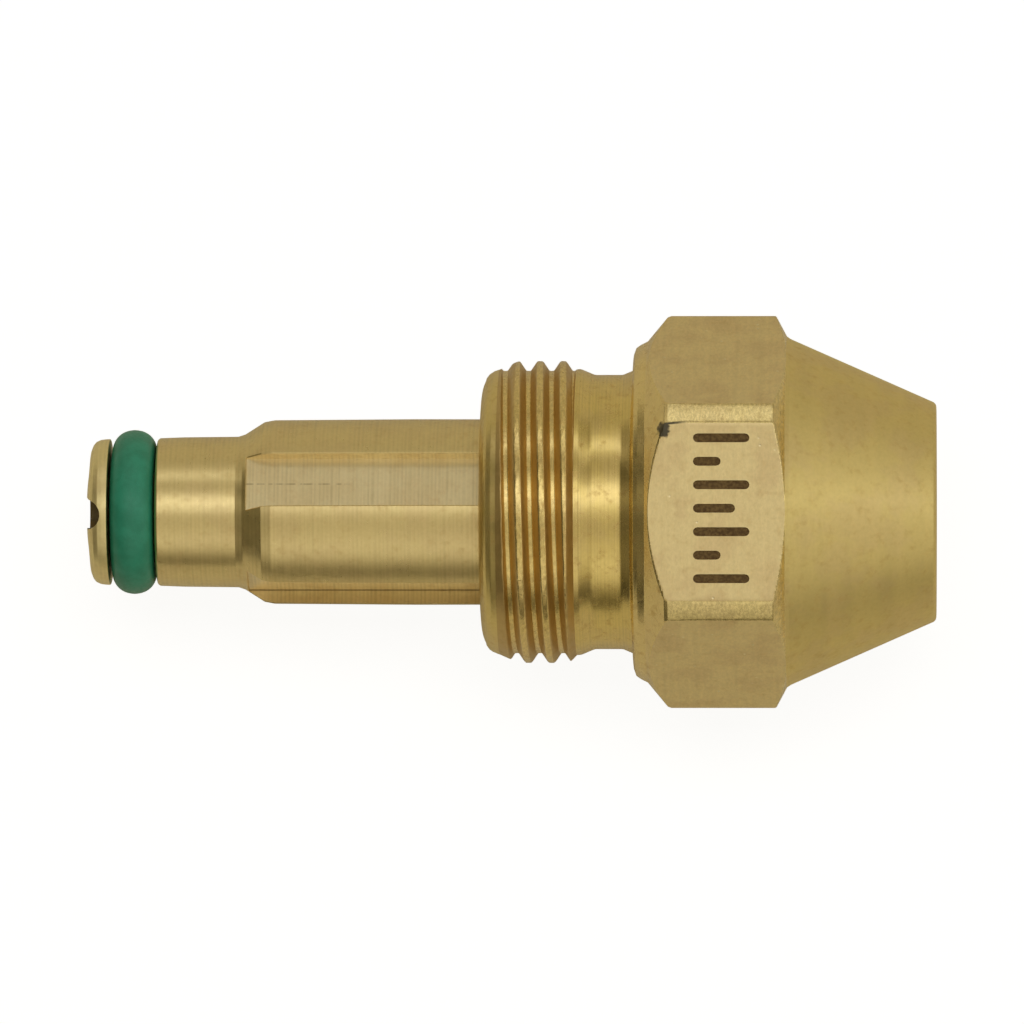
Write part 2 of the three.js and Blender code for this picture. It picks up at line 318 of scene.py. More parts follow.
def brass(
    name,
    base=BRASS,
    rough=0.30,
    line_um=1.6,
    line_freq=7.0,
    grain_um=0.7,
    grain_freq=16.0,
    tarnish=0.25,
    mottle=0.5,
    lines="turned",
    pits=0.0,
    tan=0.25,
    smudge=0.0,
    dotted=0.0,
    rings=0.0,
    ring_freq=5.0,
    sparkle=0.0,
    flank=None,
):
    m = Nodes(name)
    # Tool marks: rings round the axis on turned skin, straight strokes on milled flats.
    if lines == "turned":
        s = m.math("ADD", m.x, m.math("MULTIPLY", m.r, 1.3))
        v = m.vec(s, m.math("MULTIPLY", m.y, 0.05), m.math("MULTIPLY", m.z, 0.05))
        fine = m.noise(m.stretch(v, line_freq, line_freq * 0.35, line_freq * 0.35), 1.0, 3.0, 0.7)
        coarse = m.noise(m.stretch(v, line_freq * 0.33, 1.2, 1.2, (3, 7, 1)), 1.0, 2.0, 0.5)
    else:
        v = m.vec(m.x, m.math("MULTIPLY", m.y, 0.03), m.math("MULTIPLY", m.z, 0.03))
        if lines == "along":
            v = m.vec(
                m.math("MULTIPLY", m.x, 1.0),
                m.math("MULTIPLY", m.y, 0.03),
                m.math("MULTIPLY", m.z, 0.03),
            )
        fine = m.noise(m.stretch(v, line_freq, line_freq, line_freq), 1.0, 3.0, 0.7)
        coarse = m.noise(m.stretch(v, line_freq * 0.3, 2.0, 2.0, (3, 7, 1)), 1.0, 2.0, 0.5)
    marks = m.math("ADD", m.math("MULTIPLY", fine, 0.6), m.math("MULTIPLY", coarse, 0.7))
    grain = m.noise(m.p, grain_freq, 3.0, 0.6)
    patches = m.noise(m.p, 0.55, 3.0, 0.55)
    patches2 = m.noise(m.stretch(m.p, 1.0, 1.0, 1.0, (13, 5, 9)), 2.3, 3.0, 0.6)
    spots = m.noise(m.stretch(m.p, 1.0, 1.0, 1.0, (-4, 11, 2)), 6.0, 2.0, 0.5)
    # Colour: yellow brass, a pinker tan bloom, and brown tarnish in soft patches.
    col = m.mix(m.math("MULTIPLY", m.ramp(patches, 0.42, 0.62), tan), base, TAN)
    tar = m.math("MULTIPLY", m.ramp(patches2, 0.50, 0.78), tarnish)
    col = m.mix(tar, col, TARNISH)
    shade = m.ramp(m.math("ADD", m.math("MULTIPLY", spots, 0.5), m.math("MULTIPLY", fine, 0.5)), 0.3, 0.72, 1.0 - 0.16 * mottle, 1.0)
    shade3 = m.vec(shade, shade, m.math("POWER", shade, 1.25))
    col = m.mix(1.0, col, shade3, "MULTIPLY")
    rgh = m.math("ADD", rough, m.math("MULTIPLY", m.math("SUBTRACT", patches2, 0.5), 0.16))
    rgh = m.math("ADD", rgh, m.math("MULTIPLY", m.math("SUBTRACT", fine, 0.5), 0.12))
    rgh = m.math("ADD", rgh, m.math("MULTIPLY", tar, 0.25), clamp=True)
    if pits:
        cell = m.voronoi(m.stretch(m.p, 1.0, 1.0, 1.0, (2.1, 0.7, 4.2)), 1.6)
        pit = m.ramp(cell.outputs["Distance"], 0.05, 0.12, 1.0, 0.0)
        chosen = m.ramp(m.noise(m.p, 0.9, 1.0), 0.40, 0.55)
        pit = m.math("MULTIPLY", m.math("MULTIPLY", pit, chosen), pits)
        rgh = m.math("SUBTRACT", rgh, m.math("MULTIPLY", pit, 0.25), clamp=True)
        col = m.mix(pit, col, (1.0, 0.86, 0.55))
    if rings:
        # evenly spaced feed marks, stronger in some places than in others; they are drawn as darker bands in the
        # colour, painted shade standing in for the light the grooves catch
        drift = m.noise(m.vec(m.math("MULTIPLY", m.x, 1.7), 0.0, 0.0), 1.0, 2.0)
        along_x = m.math("ADD", m.x, m.math("MULTIPLY", drift, 0.35))
        wave = m.math("SINE", m.math("MULTIPLY", along_x, 2 * math.pi * ring_freq))
        patchy = m.ramp(m.noise(m.stretch(m.p, 0.8, 0.8, 0.8, (3, 1, 6)), 1.0, 2.0), 0.3, 0.6, 0.35, 1.0)
        uneven = m.ramp(m.noise(m.vec(m.math("MULTIPLY", m.x, ring_freq * 0.9), 0.0, 0.0), 1.0, 2.0), 0.3, 0.7, 0.2, 1.0)
        feed_mark_shade = m.math("MULTIPLY", m.math("MULTIPLY", m.math("ADD", m.math("MULTIPLY", wave, 0.5), 0.5), patchy), m.math("MULTIPLY", uneven, rings))
        light = m.math("SUBTRACT", 1.0, feed_mark_shade)
        col = m.mix(1.0, col, m.vec(light, light, light), "MULTIPLY")
    if sparkle:
        glint = m.ramp(m.noise(m.stretch(m.p, 1.9, 0.9, 0.9, (6, 2, 1)), 5.0, 3.0, 0.7), 0.34, 0.68, 1.0 - 0.32 * sparkle, 1.0 + 0.22 * sparkle)
        col = m.mix(1.0, col, m.vec(glint, glint, glint), "MULTIPLY")
    if flank:
        # thread flanks are painted darker than the crests and roots: painted shade of the flanks, which face away
        # from the lamps
        flank_shade = m.math("MULTIPLY", m.ramp(m.r, flank[0], flank[0] + 0.045), m.ramp(m.r, flank[1], flank[1] - 0.04))
        col = m.mix(m.math("MULTIPLY", flank_shade, flank[2]), col, (0.60, 0.415, 0.165))
        rgh = m.math("ADD", rgh, m.math("MULTIPLY", flank_shade, 0.12), clamp=True)
    if dotted:
        # the cutter's overlap leaves a faint broken line along the floor of each slot
        h = m.math("ADD", m.math("MULTIPLY", m.y, math.cos(math.radians(338))), m.math("MULTIPLY", m.z, math.sin(math.radians(338))))
        near = m.ramp(m.math("ABSOLUTE", m.math("SUBTRACT", h, 0.02)), 0.02, 0.05, 1.0, 0.0)
        dots = m.ramp(m.noise(m.vec(m.math("MULTIPLY", m.x, 2.6), 0.0, 0.0), 1.0, 2.0), 0.42, 0.56)
        dots = m.math("MULTIPLY", dots, m.ramp(m.x, -13.6, -12.6, 1.0, 0.0))
        seam = m.math("MULTIPLY", m.math("MULTIPLY", near, dots), 0.42)
        # painted shade: a dark line along the floor-to-wall corner of the slots on the -Y side only
        slot_corner_shade = m.ramp(m.math("ABSOLUTE", m.math("SUBTRACT", m.r, 3.575)), 0.012, 0.055, 0.5, 0.0)
        slot_corner_shade = m.math("MULTIPLY", slot_corner_shade, m.ramp(m.y, -1.0, -2.0))
        col = m.mix(m.math("MAXIMUM", seam, slot_corner_shade), col, DARK)
    if smudge:
        # an oily smear at one corner of the upper flat
        blot = m.noise(m.p, 5.0, 3.0, 0.6)
        ex = m.math("DIVIDE", m.math("SUBTRACT", m.x, 1.50), 0.30)
        ey = m.math("DIVIDE", m.math("SUBTRACT", m.y, 3.72), 0.40)
        dist = m.math("SQRT", m.math("ADD", m.math("MULTIPLY", ex, ex), m.math("MULTIPLY", ey, ey)))
        dist = m.math("ADD", dist, m.math("MULTIPLY", m.math("SUBTRACT", blot, 0.5), 1.6))
        blob = m.ramp(dist, 0.65, 1.15, 1.0, 0.0)
        ly = m.math("SUBTRACT", m.y, m.math("ADD", 3.835, m.math("MULTIPLY", m.x, 0.096)))
        line = m.ramp(m.math("ABSOLUTE", ly), 0.025, 0.075, 1.0, 0.0)
        line = m.math("MULTIPLY", m.math("MULTIPLY", line, m.ramp(m.x, 1.9, 2.9, 1.0, 0.0)), m.ramp(m.x, 1.45, 1.6))
        smear = m.math("MAXIMUM", blob, line)
        smear = m.math("MULTIPLY", m.math("MULTIPLY", smear, m.ramp(m.z, 6.9, 7.2)), 0.88 * smudge)
        col = m.mix(smear, col, (0.055, 0.060, 0.060))
        rgh = m.math("ADD", rgh, m.math("MULTIPLY", smear, 0.2), clamp=True)
    nrm = m.bump(grain, grain_um * 1e-6)
    nrm = m.bump(marks, line_um * 1e-6, normal=nrm)
    if pits:
        nrm = m.bump(m.math("SUBTRACT", 1.0, pit), 12e-6, normal=nrm)
    m.t.links.new(nrm, m.bsdf.inputs["Normal"])
    m.t.links.new(col, m.bsdf.inputs["Base Color"])
    m.t.links.new(rgh, m.bsdf.inputs["Roughness"])
    m.bsdf.inputs["Metallic"].default_value = 1.0
    m.bsdf.inputs["Anisotropic"].default_value = 0.0
    return m


mat_chamfer = brass(
    "brass_chamfer", base=(0.95, 0.745, 0.32), rough=0.25, line_um=3.0, line_freq=6.5, grain_um=0.6, tarnish=0.38, smudge=1.0
)
mat_neck = brass("brass_turned_smooth", base=(0.92, 0.705, 0.25), rough=0.23, line_um=3.6, line_freq=6.5, rings=0.17, ring_freq=6.6, grain_um=0.35, tarnish=0.38)
mat_collar = brass("brass_collar", base=(0.86, 0.67, 0.26), rough=0.33, line_um=1.2, line_freq=7.0, grain_um=0.8, tarnish=0.4)
mat_thread = brass(
    "brass_thread", base=(0.93, 0.71, 0.28), rough=0.24, line_um=0.5, line_freq=9.0, grain_um=2.2, grain_freq=9.0, tarnish=0.45, flank=(6.462, 6.885, 0.85), sparkle=0.45
)
mat_flat = brass(
    "brass_milled_flat",
    base=(0.93, 0.75, 0.385),
    rough=0.44,
    sparkle=0.14,
    rings=0.04,
    ring_freq=2.7,
    line_um=1.4,
    line_freq=3.4,
    grain_um=1.0,
    grain_freq=14.0,
    tarnish=0.12,
    lines="milled",
    pits=0.8,
    tan=0.5,
    smudge=1.0,
)
mat_corner = brass(
    "brass_turned_corner", rough=0.24, line_um=9.0, line_freq=6.0, grain_um=7.0, grain_freq=6.5, tarnish=0.15, tan=0.2, smudge=1.0, sparkle=0.6, base=(0.91, 0.73, 0.33)
)
mat_cone = brass(
    "brass_blasted_cone", base=(0.87, 0.695, 0.28), rough=0.48, line_um=0.9, line_freq=4.0, grain_um=1.8, grain_freq=13.0, tarnish=0.20, tan=0.3
)
# painted shade: the stem's bore and the walls of the rear notch get a near-black brass so the hole reads dark
mat_bore_shade = brass("brass_bore_painted_shade", base=(0.16, 0.12, 0.055), rough=0.5, line_um=1.5, line_freq=6.0, tarnish=0.5)
mat_inside = brass("brass_bore", rough=0.3, line_um=1.5, line_freq=6.0, tarnish=0.5)
mat_stem = brass("brass_stem_turned", rough=0.31, line_um=3.0, line_freq=7.0, rings=0.11, ring_freq=5.0, grain_um=0.35, tarnish=0.18, base=(0.90, 0.72, 0.34))
# painted light: the rear disc and its rounding get a lighter brass than the stem, making up for the dark that the
# rounding reflects
mat_disc = brass("brass_rear_disc", rough=0.40, line_um=3.0, line_freq=7.0, rings=0.10, ring_freq=5.0, grain_um=0.6, tarnish=0.12, base=(0.98, 0.83, 0.42))
mat_slot = brass(
    "brass_slot_milled", rough=0.34, line_um=5.5, line_freq=5.0, grain_um=0.6, tarnish=0.2, lines="along", base=(0.93, 0.785, 0.47), dotted=1.0, rings=0.17, ring_freq=5.3
)
mat_insert = brass("brass_insert", base=(0.84, 0.68, 0.36), rough=0.22, line_um=1.4, line_freq=6.0, tarnish=0.1)


def engraved():
    m = Nodes("brass_engraved_mark")
    scorch = m.noise(m.p, 7.0, 4.0, 0.65)
    grain = m.noise(m.p, 24.0, 3.0, 0.6)
    col = m.mix(m.ramp(scorch, 0.35, 0.68), (0.11, 0.062, 0.022), (0.25, 0.16, 0.06))
    m.t.links.new(col, m.bsdf.inputs["Base Color"])
    m.bsdf.inputs["Metallic"].default_value = 0.6
    m.t.links.new(m.ramp(scorch, 0.3, 0.7, 0.62, 0.8), m.bsdf.inputs["Roughness"])
    nrm = m.bump(grain, 5e-6)
    m.t.links.new(nrm, m.bsdf.inputs["Normal"])
    return m


mat_mark = engraved()


def rubber():
    m = Nodes("green_rubber")
    grain = m.noise(m.p, 9.0, 4.0, 0.6)
    cloud = m.noise(m.p, 1.3, 3.0, 0.6)
    dust = m.noise(m.stretch(m.p, 1, 1, 1, (5, 2, 8)), 22.0, 2.0, 0.5)
    col = m.mix(m.ramp(cloud, 0.35, 0.68), (0.020, 0.218, 0.128), (0.027, 0.262, 0.158))
    col = m.mix(m.math("MULTIPLY", m.ramp(dust, 0.62, 0.80), 0.14), col, (0.12, 0.33, 0.24))
    m.t.links.new(col, m.bsdf.inputs["Base Color"])
    m.t.links.new(m.ramp(grain, 0.3, 0.7, 0.34, 0.48), m.bsdf.inputs["Roughness"])
    m.bsdf.inputs["Specular IOR Level"].default_value = 0.45
    nrm = m.bump(grain, 6e-6)
    nrm = m.bump(dust, 2e-6, normal=nrm)
    m.t.links.new(nrm, m.bsdf.inputs["Normal"])
    return m


mat_ring = rubber()

# ---------------------------------------------------------------------------------------------
# Nozzle cap
# ---------------------------------------------------------------------------------------------
PITCH = 25.4 / 24
CREST_AT = -5.366
CREST_R, ROOT_R = 6.905, 6.45
CORNER_R = 8.96

cap_points = [
    (-6.80, 4.45, 0.0, "bore"),
    (-6.95, 4.60, 0.04, "rear"),
    *[(-6.95 + 0.8 * (1 - math.cos(math.pi / 2 * k / 18)), 5.25 + 1.20 * math.sin(math.pi / 2 * k / 18), 0.0, "collar") for k in range(18)],
    (-6.15, 6.45, 0.0, "thread"),
    (-2.72, 6.45, 0.06, "thread"),
    (-2.62, 6.53, 0.08, "neck"),
    (-2.42, 6.53, 0.30, "neck"),
    (-1.80, 6.27, 0.50, "neck"),
    (-0.52, 6.27, 0.50, "neck"),
    (-0.05, 6.47, 0.10, "neck"),
    (0.0, 6.60, 0.05, "washer"),
    (0.0, 7.22, 0.12, "washer"),
    (0.10, 7.50, 0.10, "washer"),
    (0.30, 7.64, 0.15, "washer"),
    (0.62, 7.80, 0.15, "chamfer"),
    (1.53, 8.90, 0.10, "chamfer"),
    (1.70, CORNER_R, 0.10, "hex"),
    (6.48, CORNER_R, 0.12, "hex"),
    (6.98, 8.02, 0.14, "front_chamfer"),
    (7.16, 7.90, 0.20, "cone"),
    (13.8, 4.965, 0.27, "front"),
    (13.8, 1.66, 0.06, "front"),
    (13.2, 0.92, 0.05, "bore"),
    (12.2, 0.90, 0.10, "bore"),
    (9.3, 3.80, 0.10, "bore"),
    (0.2, 3.80, 0.0, "bore"),
    (-0.4, 4.40, 0.0, "bore"),
    (-1.2, 4.40, 0.0, "bore"),
    (-1.2, 3.84, 0.0, "female"),
    (-5.5, 3.84, 0.0, "female"),
    (-5.95, 4.45, 0.0, "bore"),
]
ring = rounded(cap_points + [cap_points[0]], 0.55, 6)[:-1]

# Put rows where the detail is: thread, hexagon chamfers and inside thread.
dense = []
for i, (u, r, z) in enumerate(ring):
    dense.append((u, r, z))
    u2, r2, _ = ring[(i + 1) % len(ring)]
    length = math.hypot(u2 - u, r2 - r)
    step = None
    if z == "thread":
        step = 0.036
    elif z == "collar":
        step = 0.05
    elif z in ("chamfer", "front_chamfer"):
        step = 0.026
    elif z == "hex" and (min(u, u2) < 2.0 or max(u, u2) > 6.3):
        step = 0.03
    elif z == "female":
        step = 0.05
    elif z == "washer" and min(u, u2) > 0.25:
        step = 0.05
    elif z == "cone":
        step = 0.33
    if step and length > step * 1.3:
        m = int(math.ceil(length / step))
        for k in range(1, m):
            dense.append((u + (u2 - u) * k / m, r + (r2 - r) * k / m, z))
ring = dense

offsets = sorted(
    [round(k * 1.5, 3) for k in range(-17, 18)]
    + [s * v for v in (26.1, 26.45, 26.7, 26.9, 27.1, 27.4, 27.9, 28.6, 29.3) for s in (-1, 1)]
)
angles = []
for k in range(6):
    for off in offsets:
        angles.append(30 + 60 * k + off)
    angles.append(60 + 60 * k)
angles = np.array(angles)
delta = (angles % 60.0) - 30.0
delta = np.abs(delta)

U = np.array([p[0] for p in ring])[:, None]
R0 = np.array([p[1] for p in ring])[:, None]
zone = [p[2] for p in ring]
is_zone = lambda *names: np.array([z in names for z in zone])[:, None]

A = angles[None, :]
R = R0 + 0 * A
# hexagon
hexr = 8.0 / np.cos(np.radians(delta))[None, :]
outer_hex = is_zone("washer", "chamfer", "hex", "front_chamfer", "cone") & (U > 0.2) & (U < 7.6)
R = np.where(outer_hex, np.where(U < 2.4, smin(R, hexr + 0 * R, 0.018), smin(R, hexr + 0 * R, 0.055)), R)

# outside thread
phase = (U - CREST_AT - PITCH * A / 360.0) / PITCH
d = np.abs(phase - np.round(phase)) * PITCH
ridge = smin(CREST_R + 0 * d, CREST_R - 1.5 * (d - 0.13), 0.09)
thr = smax(ridge, ROOT_R + 0 * d, 0.06)
lead = np.interp(U, [-6.95, -6.80, -6.61, -6.40, -6.153, -5.67, -5.25, -4.9], [5.5, 6.05, 6.30, 6.44, 6.52, 6.735, 6.93, 7.1])
runout = np.interp(U, [-3.06, -2.62, -2.5], [7.0, 6.54, 6.53])
env = np.minimum(lead, runout)
thr = smin(thr, np.maximum(env, R0), 0.07)
in_thread = is_zone("thread", "collar", "neck") & (U > -6.75) & (U < -2.45)
R = np.where(in_thread, smax(R, thr, 0.03), R)

# Small damage on the crests: they are torn a little by the tool.
rng = np.random.default_rng(7)


def wobble(a, freq, seed):
    g = np.random.default_rng(seed)
    out = 0 * a
    for _ in range(7):
        f = g.integers(max(1, int(freq * 0.4)), int(freq * 1.6) + 1)
        out = out + g.normal() * np.sin(np.radians(a) * f + g.uniform(0, 6.28))
    return out / math.sqrt(7)


crest_w = np.clip((R - 6.80) / 0.1, 0, 1) * (in_thread & (U > -6.1) & (U < -2.7))
R = R - crest_w * 0.010 * np.abs(wobble(A + 31 * U, 70, 3))

# inside thread
IP = 1.0
ph = (U + 3.5 - IP * A / 360.0) / IP
di = np.abs(ph - np.round(ph)) * IP
groove = 4.33 - (di - 0.16) * 1.732
fem = np.clip(smax(groove, 3.80 + 0 * di, 0.05), 3.8, 4.33)
in_fem = is_zone("female") & (U < -1.25) & (U > -5.9)
R = np.where(in_fem, np.maximum(fem, R0), R)

P = ring_points(U, R, A)
rows, cols = P.shape[:2]
co = P.reshape(-1, 3)

ZONE_MAT = {
    "bore": 5,
    "female": 5,
    "rear": 0,
    "collar": 1,
    "thread": 2,
    "neck": 0,
    "washer": 8,
    "chamfer": 8,
    "hex": 6,
    "front_chamfer": 4,
    "cone": 4,
    "front": 4,
}
CAP_MATS = [mat_neck.mat, mat_collar.mat, mat_thread.mat, mat_flat.mat, mat_cone.mat, mat_inside.mat, mat_corner.mat, mat_mark.mat, mat_chamfer.mat]
faces, face_mat, keys = [], [], []
flat_cut = (hexr + 0 * R) < (R0 + 0.0)  # the flat lies under the turned envelope here
for i in range(rows):
    i2 = (i + 1) % rows
    zi = zone[i]
    for j in range(cols):
        j2 = (j + 1) % cols
        faces.append((i * cols + j, i2 * cols + j, i2 * cols + j2, i * cols + j2))
        mi = ZONE_MAT[zi]
        if outer_hex[i, 0] and flat_cut[i, j] and flat_cut[i, j2] and flat_cut[i2, j] and flat_cut[i2, j2]:
            mi = 3
        face_mat.append(mi)
        keys.append((i, j))

# ---- generic engraved mark on the upper flat: a short ladder of bars -------------------------
flat_cols = [j for j in range(cols) if abs(angles[j] - 90) <= 25.6]
hex_rows = [i for i in range(rows) if zone[i] == "hex" and 2.0 <= ring[i][0] <= 6.3]
r_lo, r_hi = hex_rows[0], hex_rows[-1]
c_lo, c_hi = flat_cols[0], flat_cols[-1]
kept_faces, kept_mat = [], []
for f, mi, (i, j) in zip(faces, face_mat, keys):
    if r_lo <= i < r_hi and c_lo <= j < c_hi:
        continue
    kept_faces.append(f)
    kept_mat.append(mi)

loop = (
    [(r_lo, j) for j in range(c_lo, c_hi)]
    + [(i, c_hi) for i in range(r_lo, r_hi)]
    + [(r_hi, j) for j in range(c_hi, c_lo, -1)]
    + [(i, c_lo) for i in range(r_hi, r_lo, -1)]
)
loop_idx = [i * cols + j for i, j in loop]
pts2 = [Vector((co[k][0], co[k][1])) for k in loop_idx]
edges2 = [(k, (k + 1) % len(pts2)) for k in range(len(pts2))]


def bar_outline(u0, u1, y, w, n=7):
    h = w / 2
    out = []
    for k in range(n):
        a = math.pi / 2 + math.pi * k / (n - 1)
        out.append((u0 + h + h * math.cos(a), y + h * math.sin(a)))
    steps = max(1, int((u1 - u0 - w) / 0.35))
    for k in range(1, steps):
        out.append((u0 + h + (u1 - u0 - w) * k / steps, y - h))
    for k in range(n):
        a = -math.pi / 2 + math.pi * k / (n - 1)
        out.append((u1 - h + h * math.cos(a), y + h * math.sin(a)))
    for k in range(1, steps):
        out.append((u1 - h - (u1 - u0 - w) * k / steps, y + h))
    return out


bars = []
for k, length in enumerate((2.55, 1.25, 2.55, 1.9, 2.55, 1.25, 2.55)):
    y = 3.35 - k * 1.06
    bars.append(bar_outline(2.85, 2.85 + length, y, 0.40))
bar_sets = []
for outline in bars:
    n0 = len(pts2)
    pts2 += [Vector(q) for q in outline]
    m = len(outline)
    edges2 += [(n0 + k, n0 + (k + 1) % m) for k in range(m)]
    bar_sets.append((n0, m))
# a few free points keep the triangles of the flat even
for uu in np.arange(2.35, 6.1, 0.42):
    for yy in np.arange(-3.5, 3.6, 0.53):
        if all(abs(yy - (3.35 - k * 1.06)) > 0.33 or uu < 2.6 or uu > 5.7 for k in range(7)):
            pts2.append(Vector((float(uu), float(yy))))

v2, e2, f2, ov, oe, of_ = delaunay_2d_cdt(pts2, edges2, [], 0, 1e-5)


def inside(poly, x, y):
    hit = False
    m = len(poly)
    for k in range(m):
        x1, y1 = poly[k]
        x2, y2 = poly[(k + 1) % m]
        if (y1 > y) != (y2 > y) and x < (x2 - x1) * (y - y1) / (y2 - y1) + x1:
            hit = not hit
    return hit


base_n = len(co)
new_co = []
mapping = {}
outline_of = {}
for vi, origin in enumerate(ov):
    o0 = origin[0] if origin else None
    if o0 is not None and o0 < len(loop_idx):
        mapping[vi] = loop_idx[o0]
    else:
        mapping[vi] = base_n + len(new_co)
        new_co.append((v2[vi].x, v2[vi].y, 8.0))
    if o0 is not None:
        outline_of[o0] = vi
ENGRAVE = 0.035
low = {}
fill_faces, fill_mats = [], []
for f in f2:
    xs = [v2[k].x for k in f]
    ys = [v2[k].y for k in f]
    area = abs((xs[1] - xs[0]) * (ys[2] - ys[0]) - (xs[2] - xs[0]) * (ys[1] - ys[0])) / 2
    if area < 1e-7:
        continue
    cx, cy = sum(xs) / 3, sum(ys) / 3
    which = next((b for b, o in enumerate(bars) if inside(o, cx, cy)), None)
    if which is None:
        fill_faces.append(tuple(mapping[k] for k in f))
        fill_mats.append(3)
    else:
        tri = []
        for k in f:
            if k not in low:
                low[k] = base_n + len(new_co)
                bx = sum(q[0] for q in bars[which]) / len(bars[which])
                by = sum(q[1] for q in bars[which]) / len(bars[which])
                dx, dy = v2[k].x - bx, v2[k].y - by
                # the floor of a stroke is a little narrower than its mouth
                new_co.append((v2[k].x - 0.03 * np.sign(dx) * (abs(dx) > 0.3), v2[k].y - 0.03 * np.sign(dy) * (abs(dy) > 0.05), 8.0 - ENGRAVE))
            tri.append(low[k])
        fill_faces.append(tuple(tri))
        fill_mats.append(7)
for n0, m in bar_sets:
    for k in range(m):
        a, b = outline_of[n0 + k], outline_of[n0 + (k + 1) % m]
        fill_faces.append((mapping[a], mapping[b], low[b], low[a]))
        fill_mats.append(7)
co_all = np.vstack([co, np.array(new_co)])


def normal_z(f):
    a, b, c = co_all[f[0]], co_all[f[1]], co_all[f[2]]
    return np.cross(b - a, c - a)[2]


faces_main = flip_if_inside_out(co_all, kept_faces + [f if normal_z(f) != 0 else f for f in []])
# fill triangles always face up; walls are put right by Blender's own recalculation below
fill_faces = [f if normal_z(f) >= 0 or len(f) == 4 else tuple(reversed(f)) for f in fill_faces]
cap_obj = make_object("nozzle_cap_skin", co_all, faces_main + fill_faces, CAP_MATS, kept_mat + fill_mats, merge=False)
bm = bmesh.new()
bm.from_mesh(cap_obj.data)
bmesh.ops.recalc_face_normals(bm, faces=bm.faces)
bm.normal_update()
bm.to_mesh(cap_obj.data)
bm.free()
cap_obj.data.polygons.foreach_set("use_smooth", np.ones(len(cap_obj.data.polygons), bool))
cap_obj.data.set_sharp_from_angle(angle=math.radians(32))
bm = bmesh.new()
bm.from_mesh(cap_obj.data)
for e in bm.edges:
    if len(e.link_faces) == 2:
        mi = sorted(f.material_index for f in e.link_faces)
        if 7 in mi and (mi[0] != mi[1] or e.calc_face_angle(0) > math.radians(15)):
            e.smooth = False
bm.to_mesh(cap_obj.data)
bm.free()

# ---------------------------------------------------------------------------------------------
# Stem
# ---------------------------------------------------------------------------------------------
SLOT_HALF = 1.275
SLOT_FLOOR = 3.34
SLOT_FROM = -17.63
stem_points = [
    (-25.0, 1.16, 0.0, "rear"),
    (-24.985, 1.50, 0.3, "rear"),
    (-24.91, 2.08, 0.8, "rear"),
    (-24.83, 2.84, 0.10, "rear"),
    (-24.74, 3.07, 0.10, "rear"),
    (-24.62, 3.21, 0.12, "rear"),
    (-24.42, 3.30, 0.20, "rear"),
    (-24.20, 3.33, 0.30, "disc"),
    (-23.98, 3.34, 0.05, "groove"),
    (-23.95, 1.82, 0.15, "groove"),
    (-21.80, 1.82, 0.15, "groove"),
    (-21.80, 3.30, 0.06, "journal"),
    (-21.70, 3.38, 0.10, "journal"),
    (-20.60, 3.42, 0.0, "journal"),
    (-18.12, 3.445, 0.05, "journal"),
    (-17.80, 3.55, 0.25, "shoulder"),
    (-16.92, 4.11, 0.06, "shoulder"),
    (-16.45, 4.20, 0.5, "shank"),
    (-10.0, 4.245, 0.0, "shank"),
    (-6.25, 4.24, 0.06, "shank"),
    (-5.95, 3.65, 0.06, "male"),
    (-1.5, 3.65, 0.06, "male"),
    (-1.15, 3.30, 0.06, "nose"),
    (8.0, 3.30, 0.05, "nose"),
    (8.2, 3.10, 0.04, "nose"),
    (8.2, 1.55, 0.05, "nose"),
    (9.5, 1.55, 0.03, "nose"),
    (9.6, 1.45, 0.02, "nose"),
    (9.6, 1.05, 0.0, "bore"),
    (7.0, 1.05, 0.0, "bore"),
    (7.0, 0.70, 0.0, "bore"),
    (6.3, 0.70, 0.0, "bore"),
    (6.0, 1.10, 0.0, "bore"),
    (-24.94, 1.10, 0.0, "bore"),
]
prof = rounded(stem_points + [stem_points[0]], 0.5, 5)[:-1]
dense = []
for i, (u, r, z) in enumerate(prof):
    dense.append((u, r, z))
    u2, r2, _ = prof[(i + 1) % len(prof)]
    length = math.hypot(u2 - u, r2 - r)
    step = {"male": 0.05, "shoulder": 0.04, "rear": 0.08}.get(z)
    if z == "journal" and max(u, u2) > -18.3:
        step = 0.05
    if step and length > step * 1.3:
        m = int(math.ceil(length / step))
        for k in range(1, m):
            dense.append((u + (u2 - u) * k / m, r + (r2 - r) * k / m, z))
# the slot's end: the same ring twice, first round, then slotted
rows_s = []
done = False
for i, (u, r, z) in enumerate(dense):
    outside = z not in ("bore",)
    if outside and not done and u > SLOT_FROM:
        pu, pr, pz = dense[i - 1]
        w = (SLOT_FROM - pu) / (u - pu)
        rr = pr + (r - pr) * w
        rows_s.append((SLOT_FROM, rr, pz, False))
        rows_s.append((SLOT_FROM + 0.015, rr + 0.01, pz, True))
        done = True
    rows_s.append((u, r, z, outside and u > SLOT_FROM))

FL = 11  # points over the floor
WL = 5  # points up each wall
LD = 26  # points over each land
slot_angles = [68 + 90 * k for k in range(4)]
col_kind = []
for k in range(4):
    for q in range(FL):
        col_kind.append((k, "floor", -1 + 2 * q / (FL - 1)))
    for q in range(1, WL + 1):
        col_kind.append((k, "wall+", q / WL))
    for q in range(LD):
        col_kind.append((k, "land", q / (LD - 1)))
    for q in range(WL, 0, -1):
        col_kind.append((k, "wall-", q / WL))
ncol = len(col_kind)


def male_radius(u, r, a):
    if not -6.0 < u < -1.2:
        return r
    ph = (u + 3.5 - a / 360.0) / 1.0
    dd = abs(ph - round(ph))
    full = 4.2 - 1.732 * (dd - 0.07)
    full = min(4.2, full)
    fade = min(1.0, max(0.0, (u + 5.75) / 0.4), max(0.0, (-1.25 - u) / 0.4))
    fade = min(1.0, max(fade, 0.0))
    return max(r, 3.65 + (full - 3.65) * fade)


